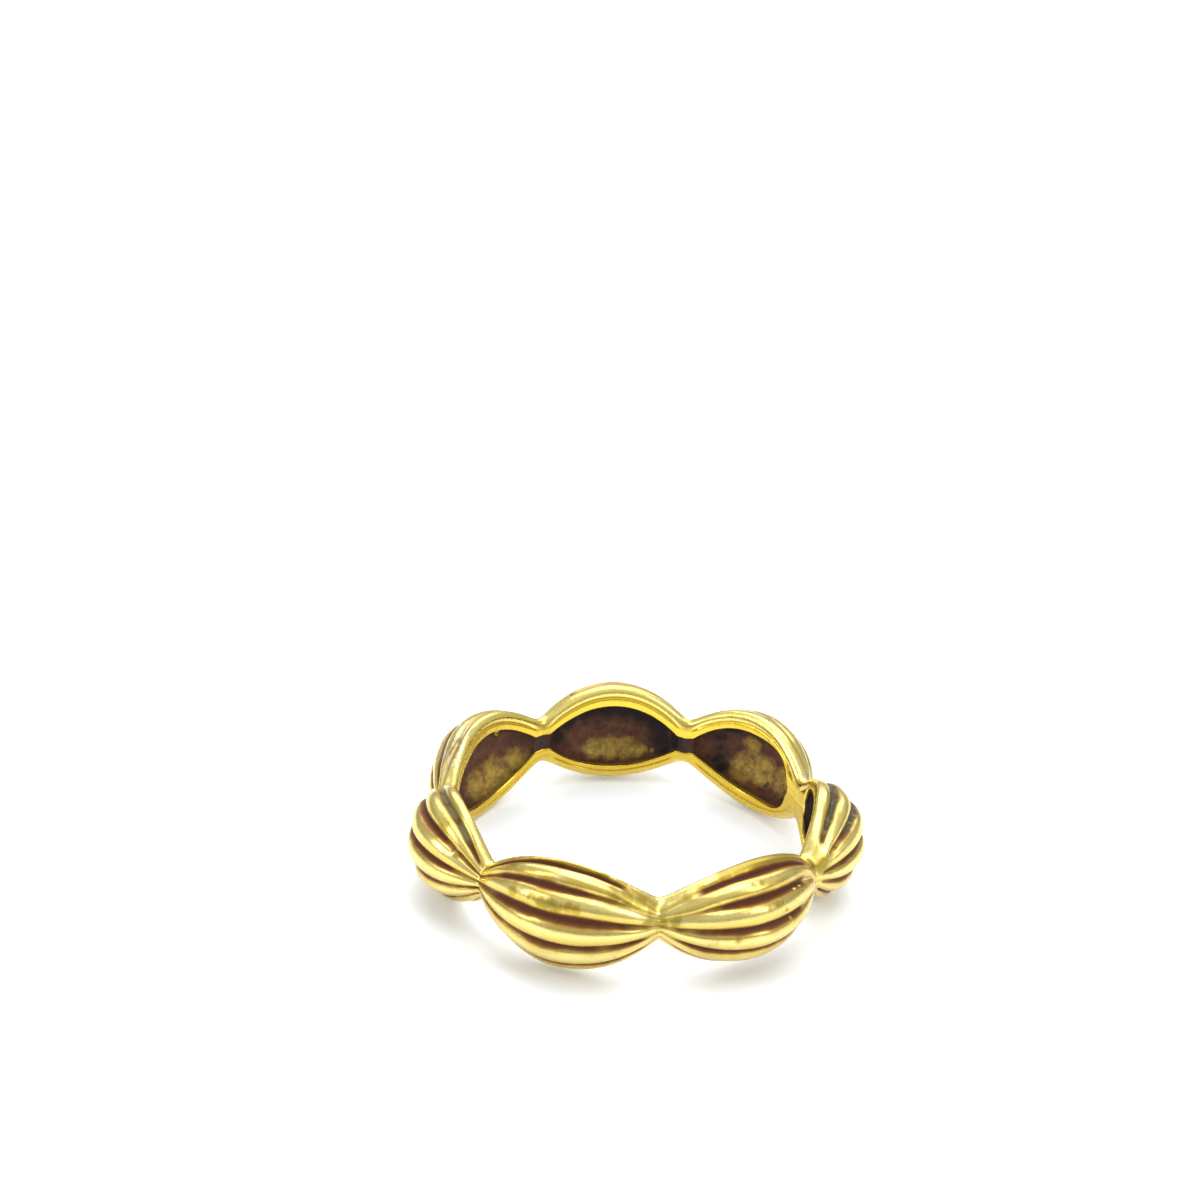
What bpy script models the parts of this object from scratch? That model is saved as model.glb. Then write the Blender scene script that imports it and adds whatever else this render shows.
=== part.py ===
# Stackable finger ring, cast in one piece: seven fluted beads run into each other round the
# finger, and each bead is scooped hollow from the finger's side.
# Metres. The finger hole's axis is Z, and the origin is its centre, half way along the band.
import math
from collections import namedtuple

import bmesh
import bpy

# Finger hole
BORE_RADIUS = 0.00865

# Bead, at its middle: width runs along the finger, thickness out from the finger hole
BEAD_WIDTH = 0.00521
BEAD_THICKNESS = 0.00246

# Waist between two beads
WAIST_WIDTH = 0.00186
WAIST_THICKNESS = 0.00108

# How round a bead swells between its waists, seen from outside and seen along the finger
WIDTH_POWER = 2.00
THICKNESS_POWER = 1.72

# Flutes down each bead's back
GROOVE_DEPTH = 0.00033
GROOVE_ANGLE = 10.5
GROOVE_PITCH_ANGLE = 32.0
GROOVE_COUNT = 6
RIB_CROWN = 0.00006

# Where an outermost groove stops before the side edge, and where the grooves close up for it
GROOVE_LIMIT_ANGLE = 84.0
GROOVE_BEND_ANGLE = 64.0

# How far the flutes close up towards a waist, as a share of their pitch
WAIST_FAN = 0.75

# Flat side edge between the finger hole and the first groove, and its small chamfer
EDGE_HEIGHT = 0.00022
EDGE_CHAMFER = 0.00005

# Hollow behind each bead: the rim left beside it, the metal left behind it,
# the bridge left between two hollows, and the shallow channel over that bridge
RIM_WIDTH = 0.00092
WALL_THICKNESS = 0.00075
BRIDGE_LENGTH = 0.00090
CHANNEL_WIDTH = 0.00085
CHANNEL_DEPTH = 0.00018

# The beads in turn, counter-clockwise seen from above, from the waist nearest the front.
# length, width, thickness and pitch are shares of an even bead's. lift and hollow_lift are
# shares of BEAD_WIDTH, for the bead's middle and for its hollow within the bead. turn is the
# flutes', in degrees about the bead's own centre line.
Bead = namedtuple("Bead", "name length width thickness lift hollow_lift turn pitch")
BEADS = (
    Bead("front_right", 1.08, 0.95, 1.00, 0.022, 0.000, -12.5, 1.07),
    Bead("right", 0.90, 1.05, 1.06, -0.010, 0.000, -5.5, 1.00),
    Bead("back_right", 1.02, 1.03, 1.06, 0.003, 0.000, -2.0, 1.00),
    Bead("back", 0.99, 1.03, 1.04, 0.009, -0.034, 0.0, 1.00),
    Bead("back_left", 1.05, 1.09, 0.99, -0.016, -0.012, 3.0, 1.00),
    Bead("left", 0.90, 1.00, 1.03, 0.006, 0.000, -4.5, 1.00),
    Bead("front_left", 1.06, 1.02, 1.00, 0.006, 0.000, 2.5, 1.05),
)

# The waist that each bead starts at. width is a share of WAIST_WIDTH, lift of BEAD_WIDTH,
# channel of CHANNEL_DEPTH, nothing where the bridge is left plain, and bridge of
# BRIDGE_LENGTH. soften rounds the waist's notch, as a share of half a bead's length.
Waist = namedtuple("Waist", "name width lift soften channel bridge")
WAISTS = (
    Waist("front", 1.14, 0.055, 0.03, 1.0, 1.0),
    Waist("front_right", 1.04, 0.010, 0.03, 1.0, 1.0),
    Waist("back_right", 1.22, -0.008, 0.07, 0.0, 2.5),
    Waist("right_of_back", 1.34, -0.015, 0.09, 1.0, 1.0),
    Waist("left_of_back", 1.34, 0.004, 0.09, 1.0, 1.0),
    Waist("back_left", 1.04, -0.003, 0.03, 1.0, 1.0),
    Waist("front_left", 1.04, 0.000, 0.02, 1.0, 1.0),
)

# Turn of the ring about the finger, in degrees, which brings its first waist to the front
START_ANGLE = -80.5

# Where a bead is sectioned, as shares of its length
STATIONS = (0.0, 0.035, 0.08, 0.145, 0.23, 0.33, 0.43, 0.57, 0.67, 0.77, 0.855, 0.92, 0.965)

# How far from its middle a bead keeps its full size, as a share of half its length. The two
# sections within it share one flat edge, on which the ring can lie.
LEVEL_SHARE = 0.15

# How fast a bead's own lift, flute turn and flute pitch give way to the waist's towards its ends
LIFT_POWER = 4
TURN_POWER = 8
FAN_POWER = 4

# Shape of a hollow: how pointed its outline runs into a channel and how blunt it ends at a
# plain bridge, how steep its floor and walls are, and the points across half of it
POINTED_POWER = 2.0
BLUNT_POWER = 4.0
HOLLOW_END_POWER = 0.6
HOLLOW_WALL_POWER = 0.55
HOLLOW_STEPS = 4

METAL = (0.80, 0.58, 0.20, 1.0)
METAL_ROUGHNESS = 0.28
CREASE_ANGLE = math.radians(40.0)


def clear_scene():
    for item in list(bpy.data.objects):
        bpy.data.objects.remove(item, do_unlink=True)


def antique_gold():
    material = bpy.data.materials.new("antique_gold")
    material.use_nodes = True
    shader = material.node_tree.nodes["Principled BSDF"]
    shader.inputs["Base Color"].default_value = METAL
    shader.inputs["Metallic"].default_value = 1.0
    shader.inputs["Roughness"].default_value = METAL_ROUGHNESS
    material.diffuse_color = METAL
    return material


def bead_starts():
    """The angle of the waist that each bead starts at, and of the last one's end."""
    total = sum(bead.length for bead in BEADS)
    angles = [math.radians(START_ANGLE)]
    for bead in BEADS:
        angles.append(angles[-1] + 2.0 * math.pi * bead.length / total)
    return angles


def between(waist, bead, from_middle, power):
    """A size that is the bead's at its middle and the waist's at its ends."""
    return waist + (bead - waist) * (1.0 - from_middle ** power)


def softened(from_middle, soften):
    """A share from the bead's middle that levels off as it reaches the waist."""
    from_waist = math.hypot(1.0 - from_middle, soften) - soften
    return 1.0 - from_waist / (math.hypot(1.0, soften) - soften)


def section_sizes(bead, waist, share):
    """Every size that a section needs, at a share of the bead's length."""
    from_middle = abs(2.0 * share - 1.0)
    if from_middle < LEVEL_SHARE:
        from_middle = 0.0
    swelling = softened(from_middle, waist.soften)
    waist_width = WAIST_WIDTH * waist.width
    width = between(waist_width, BEAD_WIDTH * bead.width, swelling, WIDTH_POWER)
    thickness = between(WAIST_THICKNESS, BEAD_THICKNESS * bead.thickness, swelling, THICKNESS_POWER)
    return {
        "scale": thickness / BEAD_THICKNESS,
        "half_width": 0.5 * width,
        "thickness": thickness,
        "lift": BEAD_WIDTH * between(waist.lift, bead.lift, from_middle, LIFT_POWER),
        "turn": between(0.0, bead.turn, from_middle, TURN_POWER),
        "pitch": GROOVE_PITCH_ANGLE * bead.pitch * between(WAIST_FAN, 1.0, from_middle, FAN_POWER),
        "from_middle": from_middle,
    }


def hollow_points(bead, waist, from_middle, bead_arc):
    """Half of the hollow's outline, from its floor to its edge: (along the finger, outward)."""
    channel_depth = CHANNEL_DEPTH * waist.channel
    end_power = POINTED_POWER if waist.channel > 0.0 else BLUNT_POWER
    reach = 1.0 - BRIDGE_LENGTH * waist.bridge / bead_arc
    lens = max(0.0, 1.0 - (from_middle / reach) ** end_power)
    full_half_width = 0.5 * BEAD_WIDTH * bead.width - RIM_WIDTH
    full_depth = BEAD_THICKNESS * bead.thickness - GROOVE_DEPTH - WALL_THICKNESS
    channel_half_width = 0.5 * CHANNEL_WIDTH
    half_width = channel_half_width + (full_half_width - channel_half_width) * lens
    depth = channel_depth + (full_depth - channel_depth) * lens ** HOLLOW_END_POWER
    points = []
    for step in range(HOLLOW_STEPS + 1):
        angle = 0.5 * math.pi * step / HOLLOW_STEPS
        out = depth * math.cos(angle) ** HOLLOW_WALL_POWER if step < HOLLOW_STEPS else 0.0
        points.append((half_width * math.sin(angle), out))
    return points


def back_point(sizes, angle, depth):
    """A point on the bead's rounded back, sunk below it by a depth."""
    reach = sizes["thickness"] - EDGE_HEIGHT
    sine, cosine = math.sin(angle), math.cos(angle)
    normal = (sine / sizes["half_width"], cosine / reach)
    size = math.hypot(*normal)
    along = sizes["half_width"] * sine - depth * normal[0] / size
    out = EDGE_HEIGHT + reach * cosine - depth * normal[1] / size
    return along, out


def groove_middles(sizes):
    """The grooves' angles from +Z to -Z, closed up where they would run over a side edge."""
    outermost = 0.5 * (GROOVE_COUNT - 1)
    middles = []
    for groove in range(GROOVE_COUNT):
        angle = sizes["turn"] + sizes["pitch"] * (outermost - groove)
        side = math.copysign(1.0, angle)
        furthest = side * sizes["turn"] + sizes["pitch"] * outermost
        room = GROOVE_LIMIT_ANGLE - GROOVE_BEND_ANGLE
        closing = room / max(room, furthest - GROOVE_BEND_ANGLE)
        beyond = max(0.0, abs(angle) - GROOVE_BEND_ANGLE)
        middles.append(math.radians(side * (abs(angle) - beyond + beyond * closing)))
    return middles


def flute_points(sizes):
    """The fluted back from its +Z edge to its -Z edge: grooves with rounded ribs between them."""
    shoulder = math.radians(0.5 * GROOVE_ANGLE)
    groove_depth = GROOVE_DEPTH * sizes["scale"]
    crown = RIB_CROWN * sizes["scale"]
    middles = groove_middles(sizes)
    points = [back_point(sizes, middles[0], groove_depth)]
    for middle, following in zip(middles, middles[1:]):
        rib_middle = 0.5 * (middle + following)
        rib_half = 0.5 * (middle - following) - shoulder
        for share in (1.0, 0.6, 0.0, -0.6, -1.0):
            points.append(back_point(sizes, rib_middle + rib_half * share, crown * share ** 2))
        points.append(back_point(sizes, following, groove_depth))
    return points


def section_outline(bead, waist, share, bead_arc):
    """The closed outline of one section, as (along the finger, out from the bore)."""
    sizes = section_sizes(bead, waist, share)
    half_width = sizes["half_width"]
    hollow_lift = BEAD_WIDTH * between(0.0, bead.hollow_lift, sizes["from_middle"], LIFT_POWER)
    half_hollow = hollow_points(bead, waist, sizes["from_middle"], bead_arc)
    upper_hollow = [(hollow_lift + along, out) for along, out in half_hollow]
    lower_hollow = [(hollow_lift - along, out) for along, out in half_hollow[:0:-1]]
    side = [(half_width - EDGE_CHAMFER, 0.0), (half_width, EDGE_CHAMFER), (half_width, EDGE_HEIGHT)]
    lower_side = [(-along, out) for along, out in reversed(side)]
    outline = upper_hollow + side + flute_points(sizes) + lower_side + lower_hollow
    return [(along + sizes["lift"], out) for along, out in outline]


def place(outline, angle):
    """Stand a section's outline up on the bore at an angle round the finger."""
    cosine, sine = math.cos(angle), math.sin(angle)
    return [((BORE_RADIUS + out) * cosine, (BORE_RADIUS + out) * sine, along) for along, out in outline]


def ring_sections():
    starts = bead_starts()
    sections = []
    for index, bead in enumerate(BEADS):
        waists = WAISTS[index], WAISTS[(index + 1) % len(WAISTS)]
        turn = starts[index + 1] - starts[index]
        for share in STATIONS:
            waist = waists[0] if share < 0.5 else waists[1]
            outline = section_outline(bead, waist, share, BORE_RADIUS * turn)
            sections.append(place(outline, starts[index] + turn * share))
    return sections


def loft_ring(name, sections):
    """Join each section to the next, and the last to the first, as one closed skin."""
    mesh = bpy.data.meshes.new(name)
    work = bmesh.new()
    rows = [[work.verts.new(point) for point in section] for section in sections]
    for row, following in zip(rows, rows[1:] + rows[:1]):
        for here, there, there_next, here_next in zip(
            row, following, following[1:] + following[:1], row[1:] + row[:1]
        ):
            work.faces.new((here, there, there_next, here_next))
    bmesh.ops.recalc_face_normals(work, faces=work.faces)
    work.to_mesh(mesh)
    work.free()
    ring = bpy.data.objects.new(name, mesh)
    bpy.context.collection.objects.link(ring)
    return ring


def build():
    clear_scene()
    ring = loft_ring("fluted_ring", ring_sections())
    ring.data.shade_smooth()
    ring.data.set_sharp_from_angle(angle=CREASE_ANGLE)
    ring.data.materials.append(antique_gold())
    return ring


build()
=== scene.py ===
import math

import bpy
from mathutils import Matrix, Vector


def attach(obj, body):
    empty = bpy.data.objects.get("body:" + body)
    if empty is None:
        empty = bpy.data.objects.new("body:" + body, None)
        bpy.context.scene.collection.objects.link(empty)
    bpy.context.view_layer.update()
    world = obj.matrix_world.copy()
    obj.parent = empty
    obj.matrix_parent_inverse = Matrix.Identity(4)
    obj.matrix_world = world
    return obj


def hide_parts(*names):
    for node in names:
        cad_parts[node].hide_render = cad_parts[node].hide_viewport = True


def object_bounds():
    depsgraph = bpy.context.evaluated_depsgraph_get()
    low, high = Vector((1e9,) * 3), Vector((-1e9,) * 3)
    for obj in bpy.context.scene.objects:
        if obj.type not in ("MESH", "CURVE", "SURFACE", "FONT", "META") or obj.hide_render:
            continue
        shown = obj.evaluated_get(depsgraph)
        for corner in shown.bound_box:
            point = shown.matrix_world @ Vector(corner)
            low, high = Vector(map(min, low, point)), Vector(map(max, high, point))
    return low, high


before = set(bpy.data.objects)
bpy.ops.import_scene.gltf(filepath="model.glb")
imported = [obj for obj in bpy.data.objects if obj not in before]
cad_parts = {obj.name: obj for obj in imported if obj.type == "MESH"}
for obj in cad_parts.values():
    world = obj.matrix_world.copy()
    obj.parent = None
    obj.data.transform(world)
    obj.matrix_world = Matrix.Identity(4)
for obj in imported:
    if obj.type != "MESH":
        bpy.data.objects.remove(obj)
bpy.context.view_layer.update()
millimetre = 0.001
fullTurn = 2 * math.pi
quarterTurn = math.pi / 2
print("frame loaded")


# Wire is an output socket that adds Math nodes when it stands in an expression.
class Wire:
    def __init__(self, board, socket):
        self.board = board
        self.socket = socket

    def __add__(self, other):
        return self.board.math("ADD", self, other)

    def __sub__(self, other):
        return self.board.math("SUBTRACT", self, other)

    def __rsub__(self, other):
        return self.board.math("SUBTRACT", other, self)

    def __mul__(self, other):
        return self.board.math("MULTIPLY", self, other)

    def __truediv__(self, other):
        return self.board.math("DIVIDE", self, other)

    def __pow__(self, other):
        return self.board.math("POWER", self, other)

    def __mod__(self, other):
        return self.board.math("FLOORED_MODULO", self, other)

    def __lt__(self, other):
        return self.board.math("LESS_THAN", self, other)

    def __gt__(self, other):
        return self.board.math("GREATER_THAN", self, other)

    def __abs__(self):
        return self.board.math("ABSOLUTE", self)

    __radd__ = __add__
    __rmul__ = __mul__


# Board holds one node tree and makes its nodes.
class Board:
    def __init__(self, tree):
        self.tree = tree

    def add(self, kind, settings=None, inputs=None, output=0):
        node = self.tree.nodes.new(kind)
        for name, value in (settings or {}).items():
            setattr(node, name, value)
        for name, value in (inputs or {}).items():
            if isinstance(value, Wire):
                self.tree.links.new(value.socket, node.inputs[name])
            else:
                node.inputs[name].default_value = value
        return Wire(self, node.outputs[output])

    def math(self, operation, *values):
        return self.add("ShaderNodeMath", {"operation": operation}, dict(enumerate(values)))

    def smaller(self, first, second):
        return self.math("MINIMUM", first, second)

    def larger(self, first, second):
        return self.math("MAXIMUM", first, second)

    def clamp(self, value):
        return self.add("ShaderNodeClamp", None, {"Value": value})

    # 0 below low, 1 above high, and a soft step between; low may be above high
    def step(self, value, low, high):
        share = self.clamp((value - low) / (high - low))
        return share * share * (3.0 - 2.0 * share)

    def vector(self, x, y, z):
        return self.add("ShaderNodeCombineXYZ", None, {0: x, 1: y, 2: z})

    def vectorMath(self, operation, *values, output=0):
        return self.add("ShaderNodeVectorMath", {"operation": operation}, dict(enumerate(values)), output)

    def scaled(self, vector, factor):
        return self.add("ShaderNodeVectorMath", {"operation": "SCALE"}, {0: vector, "Scale": factor})

    def mixColour(self, factor, first, second, blend="MIX"):
        settings = {"data_type": "RGBA", "blend_type": blend}
        return self.add("ShaderNodeMix", settings, {0: factor, 6: first, 7: second}, 2)

    def noise(self, vector, scale, detail=2.0, roughness=0.5, distortion=0.0):
        inputs = {"Vector": vector, "Scale": scale, "Detail": detail, "Roughness": roughness}
        return self.add("ShaderNodeTexNoise", None, {**inputs, "Distortion": distortion})

    # 1 inside any of the round places (x, y, z, radius), fading out towards its edge
    def spots(self, vector, places, ragged=0.0):
        found = None
        for x, y, z, radius in places:
            away = self.vectorMath("DISTANCE", vector, (x, y, z), output=1) + ragged
            here = self.step(away, radius, radius * 0.35)
            found = here if found is None else self.larger(found, here)
        return found

    def attribute(self, name):
        settings = {"attribute_type": "GEOMETRY", "attribute_name": name}
        return self.add("ShaderNodeAttribute", settings, None, "Fac")


# Camera, found from the outline of the lying ring in the 1200 pixel frame
cameraView = {
    "height": 30.82,  # degrees above the floor
    "roll": -4.26,
    "distance": 106.2,  # mm to the middle of the ring
    "pixelsPerMillimetre": 20.39,
    "middle": (632.7, 820.2),  # pixel that shows the middle of the ring
    "frame": 1200.0,
    "sensor": 36.0,
}


def makeCamera(view):
    height = math.radians(view["height"])
    roll = math.radians(view["roll"])
    focal = view["pixelsPerMillimetre"] * view["distance"]
    data = bpy.data.cameras.new("camera")
    data.sensor_width = view["sensor"]
    data.lens = focal / view["frame"] * view["sensor"]
    data.clip_start = 0.005
    data.clip_end = 10.0
    right = Vector((1, 0, 0))
    up = Vector((0, math.sin(height), math.cos(height)))
    rolledRight = right * math.cos(roll) - up * math.sin(roll)
    rolledUp = right * math.sin(roll) + up * math.cos(roll)
    back = rolledRight.cross(rolledUp)
    level = Matrix((rolledRight, rolledUp, back)).transposed()
    half = view["frame"] / 2
    toMiddle = Vector((view["middle"][0] - half, half - view["middle"][1], -focal)).normalized()
    aim = toMiddle.rotation_difference(Vector((0, 0, -1))).to_matrix()
    camera = bpy.data.objects.new("camera", data)
    place = Vector((0, -math.cos(height), math.sin(height))) * view["distance"] * millimetre
    camera.matrix_world = Matrix.Translation(place) @ (level @ aim).to_4x4()
    bpy.context.scene.collection.objects.link(camera)
    bpy.context.scene.camera = camera


makeCamera(cameraView)
print("camera set")


# Seven beads in turn from the front waist, counter-clockwise from above. length, width,
# thickness, pitch, waistWidth and bridge are shares of an even bead's; the lifts are shares of
# beadWidth, for the bead's middle, its hollow, the waist it starts at and the channel there;
# turn and waistTurn are its flutes' turn in degrees; waistFan closes the flutes up at the
# waist; waistRound softens the waist's notch; channel and groove say how much of each is left
# there, and the grooves fade from fadeStart to fadeEnd on the way; the groove at flute place
# broadPlace is wider by broadness; nextGroove and outerGroove say how much is left of the bead's
# second and outermost groove above its crown; endTurn is the flutes' turn at the bead's far end.
beadColumns = (
    "length", "width", "thickness", "lift", "hollowLift", "turn", "pitch", "broadPlace", "broadness",
    "waistWidth", "waistLift", "waistRound", "channelLift", "waistTurn", "waistFan", "channel", "bridge",
    "groove", "fadeStart", "fadeEnd", "nextGroove", "outerGroove", "endTurn",
)
beadRows = [
    (1.08, 0.95, 1.00, 0.022, 0.000, -12.5, 1.07, 0.5, 0.1)  # front right
    + (1.14, 0.055, 0.03, 0.00, -6.0, 0.52, 1.0, 1.0, 0.35, 0.45, 0.75, 1.0, 1.0, -30.0),
    (0.90, 1.05, 1.10, -0.010, 0.035, -5.5, 1.00, 1.5, 0.9)  # right
    + (1.04, 0.010, 0.03, 0.00, -2.0, 0.60, 1.0, 1.0, 0.05, 0.68, 0.82, 1.0, 1.0, 0.0),
    (1.02, 1.03, 1.06, 0.003, 0.000, -2.0, 1.00, 0.5, 0.0)  # back right
    + (1.22, -0.008, 0.07, 0.00, 0.0, 0.66, 0.0, 2.5, 0.60, 0.75, 0.97, 0.45, 0.15, 0.0),
    (0.99, 1.03, 1.04, 0.009, -0.034, 0.0, 1.00, -0.5, 0.4)  # back
    + (1.34, -0.015, 0.09, -0.03, 0.0, 0.66, 1.0, 1.0, 0.70, 0.75, 0.97, 0.7, 0.45, 0.0),
    (1.05, 1.09, 0.99, -0.016, -0.012, 3.0, 1.00, 0.5, 0.5)  # back left
    + (1.34, 0.004, 0.09, 0.00, 0.0, 0.66, 1.0, 1.0, 0.60, 0.75, 0.97, 0.8, 0.4, 0.0),
    (0.90, 1.00, 1.03, 0.006, 0.000, -5.5, 1.02, 1.5, 0.2)  # left
    + (1.04, -0.003, 0.03, 0.00, 0.0, 0.60, 1.0, 1.0, 0.80, 0.80, 0.98, 1.0, 1.0, 0.0),
    (1.06, 1.02, 1.00, 0.006, 0.000, 2.5, 1.05, 0.5, 0.35)  # front left
    + (1.04, 0.000, 0.02, 0.00, 0.0, 0.60, 1.0, 1.0, 0.90, 0.85, 0.98, 1.0, 1.0, -6.0),
]

# Sizes of the ring in millimetres and degrees; each is an input of the ring's node tree
ringSizes = {
    "boreRadius": 8.65,
    "beadWidth": 5.21,
    "beadThickness": 2.46,
    "waistWidth": 1.86,
    "waistThickness": 1.08,
    "widthPower": 2.00,
    "thicknessPower": 1.72,
    "groovePitch": 32.0,
    "grooveDepth": 0.34,
    "grooveHalf": 0.115,  # half a groove's width, as a share of the pitch
    "grooveLimit": 86.0,  # where the outermost groove stops, before the side edge
    "grooveBend": 64.0,  # where the grooves start to close up before that
    "edgeHeight": 0.27,
    "edgeRound": 0.42,
    "rimWidth": 0.92,
    "rimCrown": 0.03,
    "rimFurrow": 0.085,
    "wallThickness": 0.75,
    "bridgeLength": 0.90,
    "channelWidth": 0.85,
    "channelDepth": 0.18,
    "wobble": 0.05,  # slow unevenness of the casting
    "pitting": 0.013,
}

# How finely the ring's skin is divided
ringSteps = {
    "perBead": 90,
    "back": 40,  # from the crown of the back to its outermost groove
    "pitch": 16,  # between two grooves
    "edge": 5,
    "corner": 6,
    "rim": 15,
    "hollow": 12,
}

# How the ring's curves run; a pair is where a soft step starts and ends
ringCurves = {
    "rowCrowding": 0.45,  # rows stand closer at the waists
    "columnCrowding": 0.35,  # columns stand closer in the grooves
    "middleHold": 4.0,  # how far a bead's own lift, turn and pitch reach towards its waists
    "edgeRun": 0.35,  # pitches that the flutes run on over the side edge
    "grooveApart": 3.7,  # so that each groove wanders by itself
    "wanderScale": 0.5,
    "wander": 1.3,
    "broadFall": 2.5,
    "topBroadness": 0.45,  # the outermost groove of the upper side is this much wider
    "topGroove": (1.9, 2.2),
    "ribRound": 2.4,
    "ribFull": 0.7,
    "outerFlutes": (0.8, 1.4),
    "innerFadeStart": (0.9, 0.6),  # where the inner grooves start to fade, and how strongly
    "innerFadeEnd": (1.0, 0.7),
    "sideFade": 0.7,  # how much less is left of a groove at the waist towards the edge
    "sideFlutes": (1.2, 2.4),
    "secondGroove": (0.9, 1.1),
    "thirdGroove": (1.9, 2.1),
    "bluntEnd": 4.0,  # power of the hollow's outline where it has no channel
    "roundEnd": 2.0,  # and by how much it is less where it has one
    "closedEnd": 0.4,
    "hollowFall": 0.6,
    "cornerShare": 0.6,  # the most of the rim that the rounded corner takes
    "furrowMiddle": 0.15,
    "furrowHalf": 0.17,
    "furrowEnds": (0.95, 0.75),
    "floorSpread": 1.6,
    "wallSteepness": 0.55,
    "hollowDeep": (0.1, 0.8),
    "channelDeep": (0.05, 0.15),
    "mergeDistance": 0.0005,
    "blurTurns": 2,
    "blurWeight": 0.6,
    "wobbleScale": 0.45,
    "pitScale": 1.5,
    "roughness": 7.0,  # how much deeper the pits are on the rough places
}


# Small faults of the casting, in millimetres: x, y, z, radius, depth; below 0 the depth is a height
dents = [
    (7.54, -7.15, 1.29, 0.11, -0.12),
    (7.79, -6.76, 1.23, 0.11, -0.12),
    (7.50, -7.80, 0.10, 0.12, -0.12),
    (-3.63, 8.74, 2.04, 0.30, 0.05),
    (-2.9, 8.9, 2.2, 0.22, 0.05),
    (5.17, -9.57, -0.01, 0.16, 0.03),
    (9.64, -2.81, 1.05, 0.15, 0.08),
    (-8.02, -5.97, 1.1, 0.28, -0.16),
    (-7.27, 6.27, 0.82, 0.26, -0.22),
]
# Where its skin is crusted: x, y, z, radius
roughPlaces = [
    (-9.2, 2.6, 2.0, 2.6), (-9.9, 3.6, 0.5, 2.4), (9.6, 3.4, 1.2, 2.0), (2.0, 10.8, 0.8, 2.2),
]
frontWaist = -80.5  # degrees round the finger, where the first bead starts


def beadTable(rows, startAngle):
    mesh = bpy.data.meshes.new("beadTable")
    mesh.from_pydata([(index, 0, 0) for index in range(len(rows))], [], [])
    columns = {name: [row[place] for row in rows] for place, name in enumerate(beadColumns)}
    columns["start"] = []
    columns["sweep"] = []
    angle = math.radians(startAngle)
    for length in columns["length"]:
        sweep = fullTurn * length / sum(columns["length"])
        columns["start"].append(angle)
        columns["sweep"].append(sweep)
        angle += sweep
    for name, values in columns.items():
        mesh.attributes.new(name, "FLOAT", "POINT").data.foreach_set("value", values)
    table = bpy.data.objects.new("flutedRingLooks", mesh)
    bpy.context.scene.collection.objects.link(table)
    return table


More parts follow.
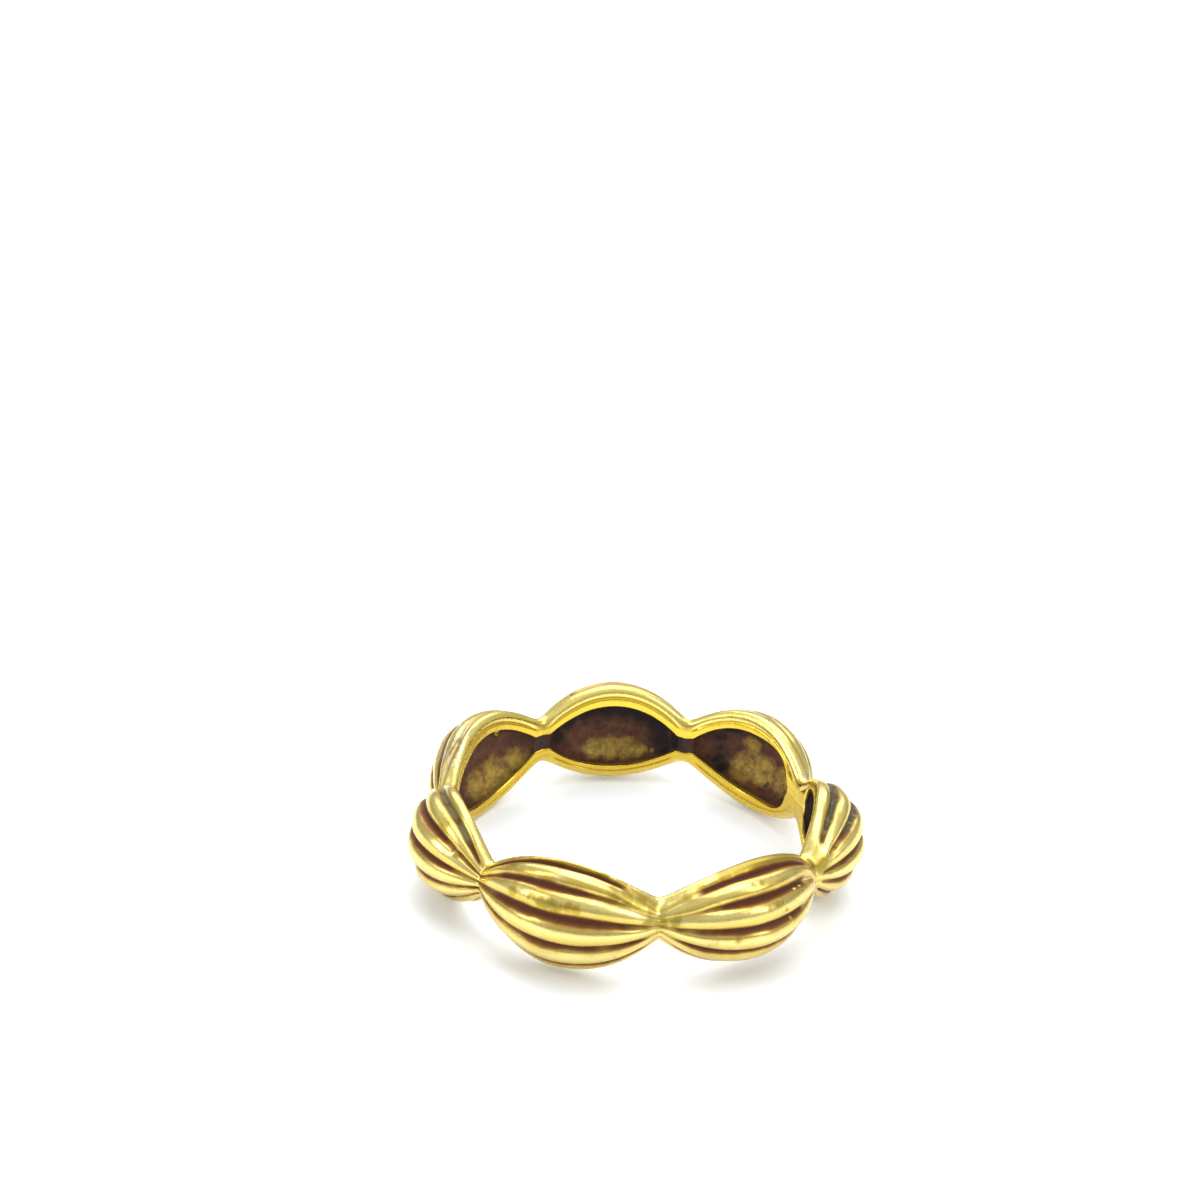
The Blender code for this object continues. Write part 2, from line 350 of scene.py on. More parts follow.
def ringTree(sizes, steps, curves, beadCount):
    tree = bpy.data.node_groups.new("flutedRing", "GeometryNodeTree")
    board = Board(tree)
    face = tree.interface
    face.new_socket("Beads", in_out="INPUT", socket_type="NodeSocketGeometry")
    for name, value in sizes.items():
        face.new_socket(name, in_out="INPUT", socket_type="NodeSocketFloat").default_value = value
    face.new_socket("Finish", in_out="INPUT", socket_type="NodeSocketMaterial")
    face.new_socket("Ring", in_out="OUTPUT", socket_type="NodeSocketGeometry")
    given = tree.nodes.new("NodeGroupInput")
    size = {name: Wire(board, given.outputs[name]) for name in sizes}
    beads = Wire(board, given.outputs["Beads"])

    # the skin starts as a grid: rows go round the finger, columns round the section
    half = sum(steps[name] for name in ("back", "edge", "corner", "rim", "hollow"))
    columns = 2 * half + 1
    rows = beadCount * steps["perBead"] + 1
    grid = board.add("GeometryNodeMeshGrid", None, {"Vertices X": rows, "Vertices Y": columns})
    index = board.add("GeometryNodeInputIndex")
    row = board.math("FLOOR", (index + 0.5) / columns)
    column = index - row * columns
    bead = board.math("FLOOR", (row + 0.5) / steps["perBead"])
    evenShare = (row - bead * steps["perBead"]) / steps["perBead"]
    share = evenShare - curves["rowCrowding"] / fullTurn * board.math("SINE", evenShare * fullTurn)
    here = bead % beadCount
    waist = (bead + (evenShare > 0.5)) % beadCount

    def tableValue(name, place):
        value = board.add("GeometryNodeInputNamedAttribute", {"data_type": "FLOAT"}, {"Name": name})
        inputs = {"Geometry": beads, "Value": value, "Index": place}
        return board.add("GeometryNodeSampleIndex", {"data_type": "FLOAT", "domain": "POINT"}, inputs)

    fromMiddle = abs(2.0 * share - 1.0)
    waistRound = tableValue("waistRound", waist)
    fromWaist = board.math("SQRT", (1.0 - fromMiddle) ** 2 + waistRound * waistRound) - waistRound
    swelling = 1.0 - fromWaist / (board.math("SQRT", 1.0 + waistRound * waistRound) - waistRound)

    def between(atWaist, atMiddle, power, away=fromMiddle):
        return atWaist + (atMiddle - atWaist) * (1.0 - away ** power)

    around = tableValue("start", here) + tableValue("sweep", here) * share
    beadWidth = size["beadWidth"] * tableValue("width", here)
    beadThickness = size["beadThickness"] * tableValue("thickness", here)
    waistWidth = size["waistWidth"] * tableValue("waistWidth", waist)
    halfWidth = 0.5 * between(waistWidth, beadWidth, size["widthPower"], swelling)
    thickness = between(size["waistThickness"], beadThickness, size["thicknessPower"], swelling)
    hold = curves["middleHold"]
    lift = size["beadWidth"] * between(tableValue("waistLift", waist), tableValue("lift", here), hold)
    channelLift = tableValue("channelLift", waist)
    hollowLift = size["beadWidth"] * between(channelLift, tableValue("hollowLift", here), hold)
    pastMiddle = evenShare > 0.5
    startTurn = tableValue("waistTurn", here)
    waistTurn = startTurn + (tableValue("endTurn", here) - startTurn) * pastMiddle
    turn = between(waistTurn, tableValue("turn", here), hold) * math.radians(1.0)
    fan = between(tableValue("waistFan", waist), 1.0, hold)
    bulk = thickness / size["beadThickness"]

    # the section's upper half runs from the crown of the back to the hollow's floor
    side = 1.0 - 2.0 * (column > half - 0.5)
    walk = half - abs(column - half)
    done = 0

    def stretch(name):
        nonlocal done
        share = board.clamp((walk - done) / steps[name])
        done += steps[name]
        return share

    backShare = stretch("back")
    edgeShare = stretch("edge")
    cornerShare = stretch("corner")
    rimShare = stretch("rim")
    hollowShare = stretch("hollow")

    # flutes: place counts pitches from the crown, with a groove at each half pitch
    outermost = steps["back"] / steps["pitch"]
    evenPlace = backShare * outermost
    place = evenPlace + curves["columnCrowding"] / fullTurn * board.math("SINE", evenPlace * fullTurn)
    pitch = size["groovePitch"] * tableValue("pitch", here) * fan * math.radians(1.0)
    limit = size["grooveLimit"] * math.radians(1.0)
    bend = size["grooveBend"] * math.radians(1.0)
    room = (limit - bend) / board.larger(turn * side + pitch * outermost - bend, limit - bend)
    upTo = turn * side + pitch * place
    ownAngle = (board.smaller(upTo, bend) + board.larger(upTo - bend, 0.0) * room) * side
    angle = ownAngle + (side * quarterTurn - ownAngle) * edgeShare
    past = abs(angle - ownAngle) / pitch + edgeShare * curves["edgeRun"]
    path = board.vector(
        size["boreRadius"] * board.math("COSINE", around),
        size["boreRadius"] * board.math("SINE", around),
        (board.math("FLOOR", place) + 0.5) * side * curves["grooveApart"],
    )
    wander = (board.noise(path, curves["wanderScale"], 2.0) - 0.5) * curves["wander"]
    above = place * side
    broad = board.clamp(1.0 - curves["broadFall"] * abs(above - tableValue("broadPlace", here)))
    grooveHalf = size["grooveHalf"] * (1.0 + broad * tableValue("broadness", here)) * (1.0 + wander)
    topGroove = board.step(above, *curves["topGroove"])
    grooveHalf = grooveHalf * (1.0 + curves["topBroadness"] * topGroove)
    fromGroove = board.clamp((abs(place % 1.0 - 0.5) * (edgeShare < 0.001) + past) * 2.0)
    ribShare = board.clamp((fromGroove - grooveHalf) / (1.0 - grooveHalf))
    ribHeight = (1.0 - (1.0 - ribShare) ** curves["ribRound"]) ** curves["ribFull"]

    # how much of each groove is left along the bead
    inner = 1.0 - board.step(above, *curves["outerFlutes"])

    def innerLater(name, furthest, strength):
        own = tableValue(name, waist)
        return own + inner * (furthest - own) * strength

    fadeStart = innerLater("fadeStart", *curves["innerFadeStart"])
    fadeEnd = innerLater("fadeEnd", *curves["innerFadeEnd"])
    sideFade = 1.0 - curves["sideFade"] * board.step(place, *curves["sideFlutes"])
    grooveLeft = tableValue("groove", waist) * sideFade
    nextGroove = tableValue("nextGroove", here)
    outerGroove = tableValue("outerGroove", here)
    kept = 1.0 + (nextGroove - 1.0) * board.step(above, *curves["secondGroove"])
    kept = kept + (outerGroove - nextGroove) * board.step(above, *curves["thirdGroove"])
    fade = kept * (1.0 - (1.0 - grooveLeft) * board.step(fromMiddle, fadeStart, fadeEnd))
    fluteHeight = 1.0 - (1.0 - ribHeight) * fade
    sink = size["grooveDepth"] * bulk * (1.0 - fluteHeight) * (1.0 - edgeShare * edgeShare)

    edge = size["edgeHeight"]
    reach = thickness - edge
    sine = board.math("SINE", angle)
    cosine = board.math("COSINE", angle)
    acrossNormal = sine / halfWidth
    outNormal = cosine / reach
    normalSize = board.math("SQRT", acrossNormal * acrossNormal + outNormal * outNormal)
    along = halfWidth * sine - sink * acrossNormal / normalSize
    out = edge + reach * cosine - sink * outNormal / normalSize

    # hollow: its outline, its depth, and the channel over the bridge
    hasChannel = tableValue("channel", waist)
    channelDepth = size["channelDepth"] * hasChannel
    endPower = curves["bluntEnd"] - curves["roundEnd"] * hasChannel
    bridgeLength = size["bridgeLength"] * tableValue("bridge", waist)
    bridge = bridgeLength / (tableValue("sweep", here) * size["boreRadius"])
    lens = board.larger(1.0 - (fromMiddle / (1.0 - bridge)) ** endPower, 0.0)
    fullHalf = beadWidth * 0.5 - size["rimWidth"]
    endHalf = size["channelWidth"] * 0.5 * (curves["closedEnd"] + (1.0 - curves["closedEnd"]) * hasChannel)
    hollowHalf = endHalf + (fullHalf - endHalf) * lens ** (0.5 + 0.5 * hasChannel)
    fullDepth = beadThickness - size["grooveDepth"] - size["wallThickness"]
    depth = channelDepth + (fullDepth - channelDepth) * lens ** curves["hollowFall"]

    # from the back's edge round the corner, over the rim and down to the hollow's floor
    cornerAngle = cornerShare * quarterTurn
    cornerWidth = board.smaller(size["edgeRound"], (halfWidth - hollowHalf) * curves["cornerShare"])
    along = along - side * cornerWidth * (1.0 - board.math("COSINE", cornerAngle))
    out = out - edge * board.math("SINE", cornerAngle)
    lip = side * hollowHalf + hollowLift
    along = along + rimShare * (lip - side * (halfWidth - cornerWidth))
    out = out - size["rimCrown"] * board.math("SINE", rimShare * math.pi)
    furrow = board.step(abs(rimShare - curves["furrowMiddle"]), curves["furrowHalf"], 0.0)
    furrow = furrow * board.step(fromMiddle, *curves["furrowEnds"])
    out = out + size["rimFurrow"] * furrow
    floorAngle = (1.0 - hollowShare ** curves["floorSpread"]) * quarterTurn
    wallSink = board.larger(board.math("COSINE", floorAngle), 0.0) ** curves["wallSteepness"]
    along = along + side * hollowHalf * (board.math("SINE", floorAngle) - 1.0)
    out = out + depth * wallSink

    radius = size["boreRadius"] + out
    position = board.vector(
        radius * board.math("COSINE", around), radius * board.math("SINE", around), along + lift
    )

    attributes = {
        "flutePlace": board.smaller(place + past, outermost + 0.5) * side,
        "grooveHalf": grooveHalf,
        "grooveLeft": fade,
        "fromMiddle": fromMiddle,
        "furrow": furrow,
        "hollow": wallSink * board.step(depth, *curves["hollowDeep"]),
        "channel": wallSink * board.step(depth, *curves["channelDeep"]),
        "inside": (cornerShare + rimShare + hollowShare) * (1.0 / 3.0),
    }
    skin = grid
    for name, value in attributes.items():
        settings = {"data_type": "FLOAT", "domain": "POINT"}
        inputs = {"Geometry": skin, "Name": name, "Value": value}
        skin = board.add("GeometryNodeStoreNamedAttribute", settings, inputs)
    skin = board.add("GeometryNodeSetPosition", None, {"Geometry": skin, "Position": position})
    inputs = {"Geometry": skin, "Distance": curves["mergeDistance"]}
    skin = board.add("GeometryNodeMergeByDistance", None, inputs)

    # soften the creases, then the casting's unevenness and its pits
    where = board.add("GeometryNodeInputPosition")
    inputs = {"Value": where, "Iterations": curves["blurTurns"], "Weight": curves["blurWeight"]}
    softer = board.add("GeometryNodeBlurAttribute", {"data_type": "FLOAT_VECTOR"}, inputs)
    skin = board.add("GeometryNodeSetPosition", None, {"Geometry": skin, "Position": softer})
    normal = board.add("GeometryNodeInputNormal")
    slow = board.noise(where, curves["wobbleScale"], 1.0) - 0.5
    pits = board.noise(where, curves["pitScale"], 3.0) - 0.5
    rough = 1.0 + curves["roughness"] * board.spots(where, roughPlaces)
    push = slow * size["wobble"] + pits * size["pitting"] * rough
    for x, y, z, radius, depth in dents:
        away = board.vectorMath("DISTANCE", where, (x, y, z), output=1)
        push = push - depth * board.step(away, radius, 0.0)
    offset = board.scaled(normal, push)
    skin = board.add("GeometryNodeSetPosition", None, {"Geometry": skin, "Offset": offset})

    skin = board.add("GeometryNodeTransform", None, {"Geometry": skin, "Scale": (millimetre,) * 3})
    skin = board.add("GeometryNodeSetShadeSmooth", None, {"Geometry": skin})
    skin = board.add("GeometryNodeRealizeInstances", None, {"Geometry": skin})
    finish = Wire(board, given.outputs["Finish"])
    skin = board.add("GeometryNodeSetMaterial", None, {"Geometry": skin, "Material": finish})
    result = tree.nodes.new("NodeGroupOutput")
    tree.links.new(skin.socket, result.inputs["Ring"])
    return tree


# Colours of the finish, linear, and the places in millimetres that are darker, greener or
# browner than the rest: x, y, z, radius
# Some of these are painted light and shade: the rims' lit and shaded golds, the lit places and the shadow
# places in the hollows
finishLooks = {
    "gold": (0.75, 0.565, 0.130),
    "paleGold": (0.90, 0.765, 0.300),
    "rimHighlightGold": (1.00, 0.84, 0.240),
    "innerLitGold": (0.94, 0.67, 0.075),
    "lowShadeGold": (0.72, 0.495, 0.055),
    "chalkGold": (0.86, 0.78, 0.46),
    "olive": (0.26, 0.190, 0.014),
    "brown": (0.105, 0.034, 0.015),
    "rust": (0.220, 0.090, 0.020),
    "amber": (0.50, 0.300, 0.030),
    "charcoal": (0.095, 0.078, 0.043),
    "ash": (0.300, 0.250, 0.120),
    "moss": (0.200, 0.165, 0.070),
    "hollowDark": (0.026, 0.020, 0.022),
    "hollowRed": (0.125, 0.038, 0.036),
    "hollowBrown": (0.130, 0.066, 0.038),
    "hollowOlive": (0.59, 0.41, 0.072),
    "olivePlaces": [
        (-4.3, -9.75, 1.56, 0.30), (-4.1, -9.8, 1.52, 0.34), (-3.9, -9.9, 1.48, 0.38),
        (-3.7, -9.97, 1.45, 0.40), (-3.5, -10.05, 1.42, 0.42), (-3.3, -10.1, 1.4, 0.42),
        (-3.1, -10.2, 1.4, 0.40), (-2.9, -10.25, 1.4, 0.38),
        (-0.6, -9.6, 1.8, 0.55), (0.0, -9.5, 1.75, 0.60), (0.6, -9.4, 1.5, 0.60), (1.1, -9.4, 1.1, 0.45),
        (2.6, -9.3, 1.9, 0.50), (3.4, -8.9, 2.1, 0.45),
        (-5.2, -7.8, 2.0, 0.45), (-4.6, -7.95, 2.2, 0.40), (-1.0, -8.95, 2.3, 0.35), (-0.3, -9.1, 2.0, 0.45),
        (4.3, -8.05, 2.4, 0.60), (4.9, -7.7, 2.45, 0.75), (5.5, -7.3, 2.5, 0.85), (6.1, -6.85, 2.45, 0.90),
        (6.7, -6.3, 2.35, 0.90), (7.2, -5.95, 2.1, 0.85), (7.7, -5.5, 1.8, 0.75), (8.0, -5.0, 1.7, 0.50),
        (6.42, -8.74, 1.21, 0.26), (6.79, -8.45, 1.21, 0.20), (7.02, -8.2, 1.23, 0.18),
        (7.19, -8.24, 0.84, 0.16),
        (6.0, -8.2, 2.1, 0.24), (5.6, -8.4, 2.0, 0.20),
        (1.0, -9.65, 0.6, 0.5), (1.6, -9.6, 0.5, 0.5), (2.3, -9.5, 0.6, 0.5),
        (5.13, -9.52, -0.05, 0.26), (-8.6, -4.9, 1.8, 0.60), (9.0, -3.7, 0.6, 0.70), (9.3, -3.3, 0.2, 0.5),
    ],
    "amberPlaces": [
        (-2.6, -10.36, 1.5, 0.38), (-2.2, -10.4, 1.4, 0.34), (-5.1, -9.05, 1.3, 0.40),
        (-5.0, -8.8, 1.7, 0.35), (2.0, 10.3, 1.6, 0.9),
    ],
    "darkPlaces": [
        (7.66, -6.95, 1.26, 0.12), (7.95, -6.6, 1.2, 0.12), (-3.63, 8.74, 2.04, 0.22),
        (-2.9, 8.9, 2.2, 0.16), (9.64, -2.81, 1.05, 0.14),
    ],
    "charcoalPlaces": [
        (9.1, 1.4, 2.4, 1.2), (9.2, 0.6, 2.5, 1.2), (9.25, -0.6, 2.6, 1.2), (9.35, -1.4, 2.1, 1.1),
        (9.2, -2.3, 1.8, 0.9), (10.5, 1.6, 1.5, 1.2), (10.6, 0.6, 1.4, 1.2), (10.5, -0.3, 1.6, 1.1),
        (10.2, -1.3, 1.7, 1.0),
    ],
    "mossPlaces": [
        (-8.95, -1.8, 2.3, 1.0), (-8.7, -3.0, 2.5, 1.0), (-8.2, -4.1, 2.5, 1.0), (-7.5, -5.3, 2.0, 0.9),
    ],
    "litPlaces": [
        (-2.4, 9.45, -1.5, 0.8), (-1.5, 9.6, -1.4, 0.9), (-0.6, 9.7, -1.4, 0.9), (0.1, 9.6, -1.5, 0.6),
        (0.75, 9.36, -1.2, 0.14), (-7.1, 5.8, -1.5, 1.4), (-7.9, 5.0, -1.6, 1.2), (-6.2, 6.8, -1.0, 1.0),
        (-5.3, 7.6, -0.4, 0.6), (5.6, 7.9, -1.1, 1.1), (6.5, 7.4, -0.9, 1.2), (7.3, 6.3, -0.8, 1.0),
        (5.9, 8.0, 0.2, 0.7),
    ],
    "hollowShadowPlaces": [
        (-3.8, 9.0, 0.4, 1.0), (-2.8, 9.5, 0.9, 1.2), (-1.8, 9.9, 1.0, 1.3), (-0.8, 10.0, 1.0, 1.3),
        (0.2, 9.9, 0.8, 1.3), (1.0, 9.6, 0.2, 1.2), (1.3, 9.4, -0.7, 1.0), (2.0, 9.0, -0.3, 0.9),
        (-4.3, 8.5, -0.3, 0.8), (4.5, 8.15, -1.2, 0.50), (4.3, 8.3, -0.8, 0.50), (4.25, 8.35, -0.3, 0.50),
        (4.3, 8.4, 0.3, 0.6), (4.9, 8.4, 1.1, 0.8),
        (5.8, 7.9, 1.6, 0.8), (6.7, 6.9, -1.4, 0.3), (-6.4, 7.2, 1.3, 0.8), (-7.4, 6.3, 1.2, 0.8),
        (-8.2, 5.3, 0.8, 0.7), (9.8, -0.3, 0.0, 4.4),
    ],
    "cleanPlaces": [(-7.33, 6.25, 1.0, 0.20), (-7.3, 6.28, 0.82, 0.18), (-7.2, 6.3, 0.66, 0.15)],
    "plainPlaces": [
        (8.2, -5.7, 1.0, 0.8), (8.3, -6.4, 0.1, 0.7), (8.5, -4.8, 1.0, 0.9),
        (7.54, -7.15, 1.35, 0.13), (7.79, -6.76, 1.29, 0.13), (7.50, -7.80, 0.16, 0.14),
    ],
}

# Sizes of the patterns, per millimetre
patternScales = {
    "patches": 0.7,
    "grime": 2.2,
    "patina": 0.9,
    "lines": 1.3,
    "mottle": 2.6,
    "clouds": 0.9,
    "scratches": 2.2,
    "fine": 7.0,
    "lumps": 1.1,
}

# Where each mark starts and ends as its pattern or place goes from one value to the other
markEdges = {
    "back": (0.12, 0.02),
    "worn": (0.45, 1.25),
    "grooveLeft": (0.10, 0.70),
    "dark": (1.60, 0.75),  # the next three are in groove widths
    "core": (1.15, 0.15),
    "patinaAndShadeFringe": (3.1, 0.8),
    "ribTopHighlight": (0.42, 0.12),
    "topRimHighlight": (0.05, 0.15),
    "topEnds": (1.0, 0.8),
    "pale": (0.52, 0.76),
    "inner": (0.35, 0.41),
    "lowEdgeShade": (0.15, 0.40),
    "stainGrime": (0.56, 0.72),
    "stainPatches": (0.42, 0.6),
    "furrow": (0.3, 1.0),
    "chalk": (0.44, 0.56),
    "streaks": (0.52, 0.62),
    "ashen": (0.48, 0.62),
    "hollowBrown": (0.42, 0.58),
    "hollowClouds": (0.52, 0.64),
    "hollowOlive": (0.34, 0.66),
    "hollowWallShade": (0.4, 0.0),
    "inHollow": (0.02, 0.20),
}

# How strongly each mark shows
markStrengths = {
    "pale": 0.7,
    "stain": 0.30,
    "olive": 0.75,
    "patinaAndShadeFringe": 0.62,
    "amber": 0.8,
    "furrow": 0.75,
    "chalk": 0.8,
    "dark": 0.85,
    "streaks": 0.80,
    "ashen": 0.6,
    "clouds": 0.5,
    "hollowOlive": 0.85,
    "hollowShadow": 0.97,
    "hollowWallShade": 0.6,
}


def colour(name):
    return (*finishLooks[name], 1.0)


def antiqueGold():
    material = bpy.data.materials.new("antiqueGold")
    material.use_nodes = True
    board = Board(material.node_tree)
    shader = material.node_tree.nodes["Principled BSDF"]
    objectPlace = board.add("ShaderNodeTexCoord", None, None, "Object")
    place = board.scaled(objectPlace, 1.0 / millimetre)
    parts = board.tree.nodes.new("ShaderNodeSeparateXYZ")
    board.tree.links.new(place.socket, parts.inputs[0])
    x, y, z = (Wire(board, socket) for socket in parts.outputs)
    scales = patternScales
    strengths = markStrengths

    flutePlace = board.attribute("flutePlace")
    grooveHalf = board.attribute("grooveHalf")
    grooveLeft = board.attribute("grooveLeft")
    fromMiddle = board.attribute("fromMiddle")
    furrow = board.attribute("furrow")
    hollow = board.attribute("hollow")
    channel = board.attribute("channel")
    inside = board.attribute("inside")

    def found(name, raggedness=1.0):
        return board.spots(place, finishLooks[name], ragged * raggedness)

    def edges(value, name):
        return board.step(value, *markEdges[name])

    patches = board.noise(place, scales["patches"], 3.0)
    grime = board.noise(place, scales["grime"], 4.0, 0.6)
    ragged = (grime - 0.5) * 0.5
    grooveNumber = board.math("FLOOR", flutePlace)
    alongGroove = board.vector(x * 0.5, y * 0.5, grooveNumber * 3.1)
    patina = board.clamp((board.noise(alongGroove, scales["patina"], 2.0) - 0.36) * 4.0)
    lines = board.noise(board.vector(x * 0.5, y * 0.5, flutePlace * 5.0), scales["lines"], 3.0)

    # darkening left in the grooves, rusty at its edges, with an amber fringe that is partly patina and
    # partly painted shade on the ribs' flanks beside the grooves
    onBack = edges(inside, "back")
    aboveGroove = flutePlace % 1.0 - 0.5 + (grime - 0.5) * 0.06
    wide = grooveHalf * (0.85 + 0.45 * patina)
    worn = edges(fromMiddle + 0.6 * (0.5 - patina), "worn")
    left = edges(grooveLeft, "grooveLeft") * onBack * (1.0 - 0.55 * worn)
    left = left * (1.0 - found("plainPlaces", 0.3))

    def acrossGroove(away, name):
        outside, within = markEdges[name]
        return board.step(abs(away), wide * outside, wide * within)

    dark = acrossGroove(aboveGroove + 0.01, "dark") * left
    core = acrossGroove(aboveGroove, "core") * left
    # partly patina, partly painted shade: the amber fringe along both sides of each groove
    patinaAndShadeFringe = acrossGroove(aboveGroove + 0.05, "patinaAndShadeFringe") * (0.35 + 0.65 * grooveLeft) * onBack
    # painted highlight: the upper side of each rib turns paler, as where light falls from above
    fromRibTopHighlight = abs((flutePlace + 0.28) % 1.0 - 0.5)
    ribTopHighlight = edges(fromRibTopHighlight, "ribTopHighlight") * onBack

    # paler in random patches of the metal's own tone; painted highlight on the upper side of each rib and on
    # the upper outer rims, as if lit from above; deeper towards the finger, with painted shade on the lower
    # half's rims
    aboveMiddle = flutePlace > 0.0
    # painted highlight: the corner and outer rim of the upper half turn pale and bright
    topRimHighlight = edges(inside, "topRimHighlight") * aboveMiddle * edges(fromMiddle, "topEnds")
    pale = board.larger(edges(patches, "pale") * strengths["pale"], ribTopHighlight * strengths["pale"])
    metal = board.mixColour(pale, colour("gold"), colour("paleGold"))
    metal = board.mixColour(topRimHighlight, metal, colour("rimHighlightGold"))
    # painted light and shade: the inner band is a lit gold on the upper half and a shaded, deeper gold on
    # the lower half
    inner = board.mixColour(aboveMiddle, colour("lowShadeGold"), colour("innerLitGold"))
    metal = board.mixColour(edges(inside, "inner"), metal, inner)
    # painted shade: the corner and rim of the lower half are darker and more orange
    metal = board.mixColour(edges(inside, "lowEdgeShade") * (flutePlace < 0.0), metal, colour("lowShadeGold"))

    # olive stains and olive bands along the front beads' top edges, amber smears, painted shade in the rim's
    # furrow, and chalky places
    stain = edges(grime, "stainGrime") * edges(patches, "stainPatches") * strengths["stain"]
    stain = board.larger(stain, found("olivePlaces", 1.5) * strengths["olive"])
    metal = board.mixColour(stain, metal, colour("olive"))
    brown = board.larger(patinaAndShadeFringe * strengths["patinaAndShadeFringe"], found("amberPlaces") * strengths["amber"])
    # painted shade: the rim's furrow turns amber
    brown = board.larger(brown, edges(furrow, "furrow") * strengths["furrow"])
    roughPart = board.spots(place, roughPlaces, ragged)
    metal = board.mixColour(brown * (1.0 - 0.6 * roughPart), metal, colour("amber"))
    chalk = roughPart * edges(grime, "chalk") * strengths["chalk"] * onBack
    metal = board.mixColour(chalk, metal, colour("chalkGold"))

    # the grooves' own colours
    dark = board.larger(dark, found("darkPlaces", 0.5) * strengths["dark"])
    streaks = roughPart * edges(lines, "streaks") * strengths["streaks"] * onBack
    grooveColour = board.mixColour(core, colour("rust"), colour("brown"))
    ashen = board.mixColour(edges(grime, "ashen") * strengths["ashen"], colour("charcoal"), colour("ash"))
    grooveColour = board.mixColour(board.larger(found("charcoalPlaces"), streaks), grooveColour, ashen)
    grooveColour = board.mixColour(found("mossPlaces"), grooveColour, colour("moss"))
    dark = board.larger(dark, streaks)
    metal = board.mixColour(dark, metal, grooveColour)

    # the hollows, mottled red and brown, olive where light reaches them, and black at their ends and under
    # their upper lips, a painted shadow
    mottle = board.noise(place, scales["mottle"], 6.0, 0.70)
    clouds = board.noise(place, scales["clouds"], 2.0)
    # painted shadow: black at the hollows' ends and under their upper lips
    hollowShadow = found("hollowShadowPlaces", 1.2)
    hollowColour = board.mixColour(edges(mottle, "hollowBrown"), colour("hollowRed"), colour("hollowBrown"))
    cloudy = edges(clouds, "hollowClouds") * strengths["clouds"]
    hollowColour = board.mixColour(cloudy, hollowColour, colour("hollowDark"))
    olivePart = board.larger(found("litPlaces", 1.3), 0.06) * (0.35 + 0.65 * edges(mottle, "hollowOlive"))
    hollowColour = board.mixColour(olivePart * strengths["hollowOlive"], hollowColour, colour("hollowOlive"))
    hollowColour = board.mixColour(hollowShadow * strengths["hollowShadow"], hollowColour, colour("hollowDark"))
    # painted shade: dark down the hollows' walls below the lip, and at their shallow ends
    wallShade = edges(hollow, "hollowWallShade") * strengths["hollowWallShade"]
    hollowColour = board.mixColour(wallShade, hollowColour, colour("hollowDark"))
    inHollow = edges(board.larger(hollow, channel * 0.6), "inHollow") * (1.0 - found("cleanPlaces", 0.2))
    metal = board.mixColour(inHollow, metal, hollowColour)

    dull = board.larger(dark, inHollow)
    roughness = 0.27 + 0.30 * dull + 0.16 * (grime - 0.5) + 0.16 * stain
    metallic = 1.0 - 0.60 * dull

    # scratches along the flutes, fine grain in dull and rough places, and slow lumps
    scratches = board.noise(board.vector(x * 0.7, y * 0.7, z * 3.0), scales["scratches"], 2.0)
    fine = board.noise(place, scales["fine"], 2.0, 0.5)
    lumps = board.noise(place, scales["lumps"], 2.0)
    height = (scratches - 0.5) * 0.30 + (fine - 0.5) * (0.10 + 1.6 * board.larger(dull, roughPart))
    height = height + (lumps - 0.5) * 2.2
    bump = board.add("ShaderNodeBump", None, {"Strength": 0.3, "Distance": 0.00004, "Height": height})

    shader.inputs["Specular IOR Level"].default_value = 0.2
    links = material.node_tree.links
    links.new(metal.socket, shader.inputs["Base Color"])
    links.new(roughness.socket, shader.inputs["Roughness"])
    links.new(metallic.socket, shader.inputs["Metallic"])
    links.new(bump.socket, shader.inputs["Normal"])
    return material


def makeRing():
    holder = beadTable(beadRows, frontWaist)
    tree = ringTree(ringSizes, ringSteps, ringCurves, len(beadRows))
    modifier = holder.modifiers.new("flutedRing", "NODES")
    modifier.node_group = tree
    sockets = {item.name: item.identifier for item in tree.interface.items_tree if item.in_out == "INPUT"}
    for name, value in ringSizes.items():
        modifier[sockets[name]] = value
    modifier[sockets["Finish"]] = antiqueGold()
    seen = holder.evaluated_get(bpy.context.evaluated_depsgraph_get())
    mesh = bpy.data.meshes.new_from_object(seen)
    holder.modifiers.remove(modifier)
    holder.data = mesh
    return holder


ring = makeRing()
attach(ring, "root")
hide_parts("fluted_ring")
print("ring made:", len(ring.data.polygons), "faces")


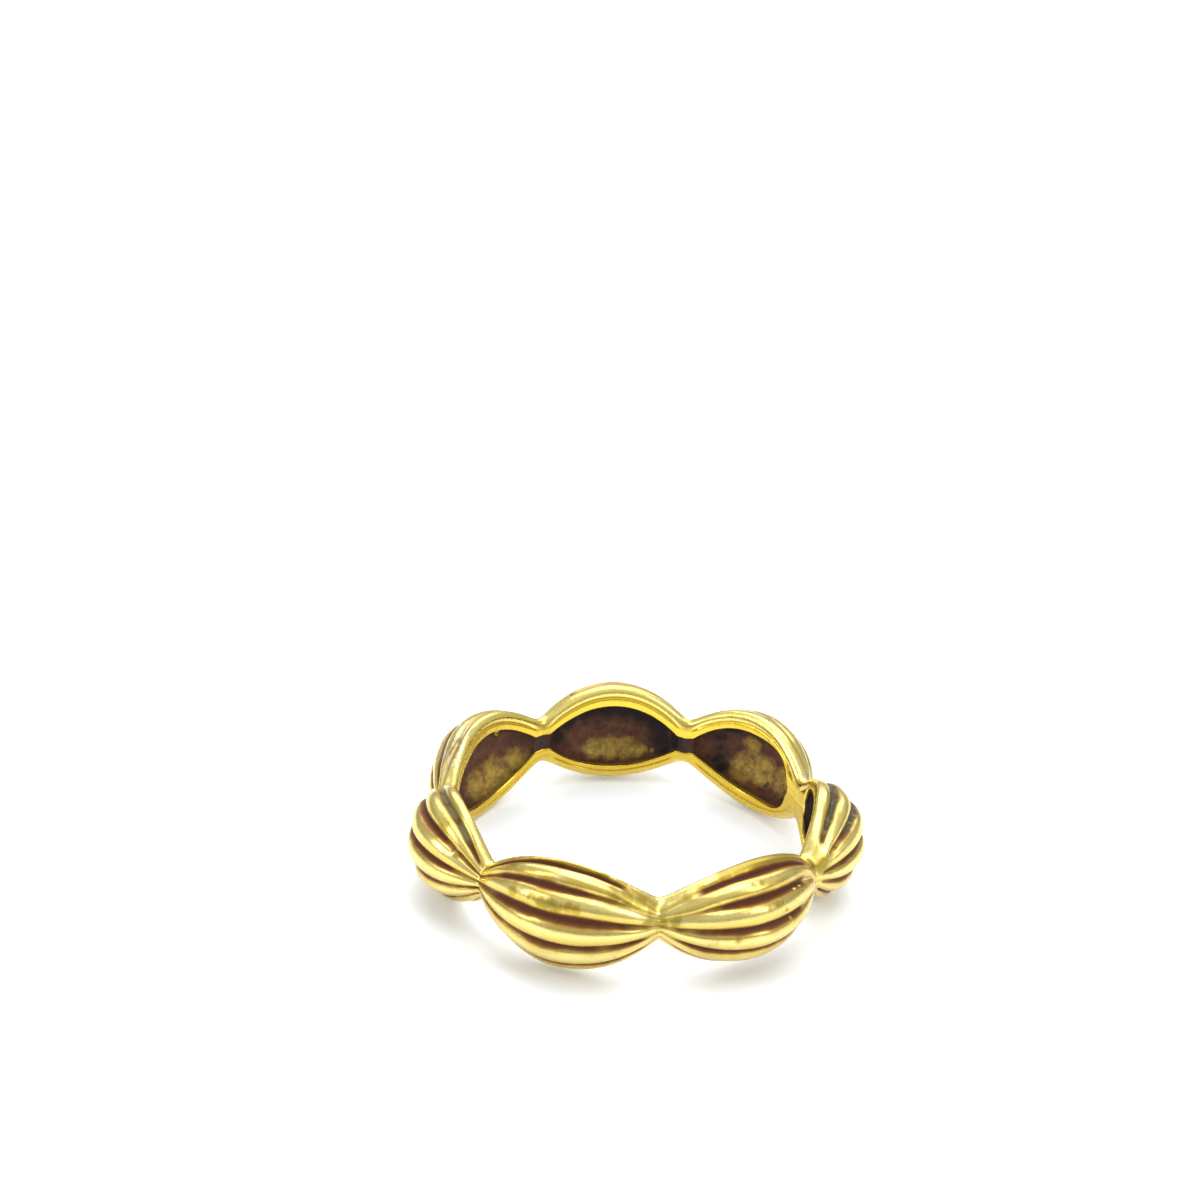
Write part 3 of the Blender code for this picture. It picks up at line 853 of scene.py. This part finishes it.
# Floor and light
studio = {
    "floorSize": 1.2,
    "floorColour": (0.93, 0.955, 0.985),
    "floorGlow": 0.08,
    "horizon": 0.40,  # strength of the sky's light there, and higher up
    "sky": 0.72,
    "skyRise": (0.0, 0.6),
    "skyColour": (0.98, 1.0, 1.03, 1.0),
    "lightColour": (0.98, 1.0, 1.04),
    "lights": [  # name, place and size in metres, watts
        ("topLight", (0.02, 0.02, 0.36), (0.36, 0.22), 0.66),
        ("backLight", (0.0, 0.29, 0.28), (0.46, 0.22), 0.72),
        ("leftLight", (-0.30, -0.12, 0.20), (0.08, 0.25), 0.36),
        ("rightLight", (0.28, -0.16, 0.22), (0.08, 0.25), 0.36),
    ],
}


def makeFloor():
    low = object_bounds()[0][2]
    half = studio["floorSize"] / 2
    mesh = bpy.data.meshes.new("floor")
    corners = [(-half, -half, low), (half, -half, low), (half, half, low), (-half, half, low)]
    mesh.from_pydata(corners, [], [(0, 1, 2, 3)])
    floor = bpy.data.objects.new("floor", mesh)
    bpy.context.scene.collection.objects.link(floor)
    material = bpy.data.materials.new("paleFloor")
    material.use_nodes = True
    shader = material.node_tree.nodes["Principled BSDF"]
    shader.inputs["Base Color"].default_value = (*studio["floorColour"], 1.0)
    shader.inputs["Roughness"].default_value = 0.7
    shader.inputs["Emission Color"].default_value = (1, 1, 1, 1)
    shader.inputs["Emission Strength"].default_value = studio["floorGlow"]
    mesh.materials.append(material)


def areaLight(name, place, size, watts):
    data = bpy.data.lights.new(name, "AREA")
    data.shape = "RECTANGLE"
    data.size, data.size_y = size
    data.energy = watts
    data.color = studio["lightColour"]
    light = bpy.data.objects.new(name, data)
    light.location = place
    light.rotation_euler = (-Vector(place)).to_track_quat("-Z", "Y").to_euler()
    bpy.context.scene.collection.objects.link(light)


def makeStudio():
    world = bpy.data.worlds.new("studio")
    bpy.context.scene.world = world
    world.use_nodes = True
    board = Board(world.node_tree)
    shader = world.node_tree.nodes["Background"]
    direction = board.add("ShaderNodeTexCoord", None, None, "Generated")
    parts = board.tree.nodes.new("ShaderNodeSeparateXYZ")
    board.tree.links.new(direction.socket, parts.inputs[0])
    upward = Wire(board, parts.outputs[2])
    rise = board.step(upward, *studio["skyRise"])
    strength = studio["horizon"] + (studio["sky"] - studio["horizon"]) * rise
    board.tree.links.new(strength.socket, shader.inputs["Strength"])
    shader.inputs["Color"].default_value = studio["skyColour"]
    for name, place, size, watts in studio["lights"]:
        areaLight(name, place, size, watts)
    bpy.context.scene.view_settings.view_transform = "Standard"


makeFloor()
makeStudio()
print("studio made")
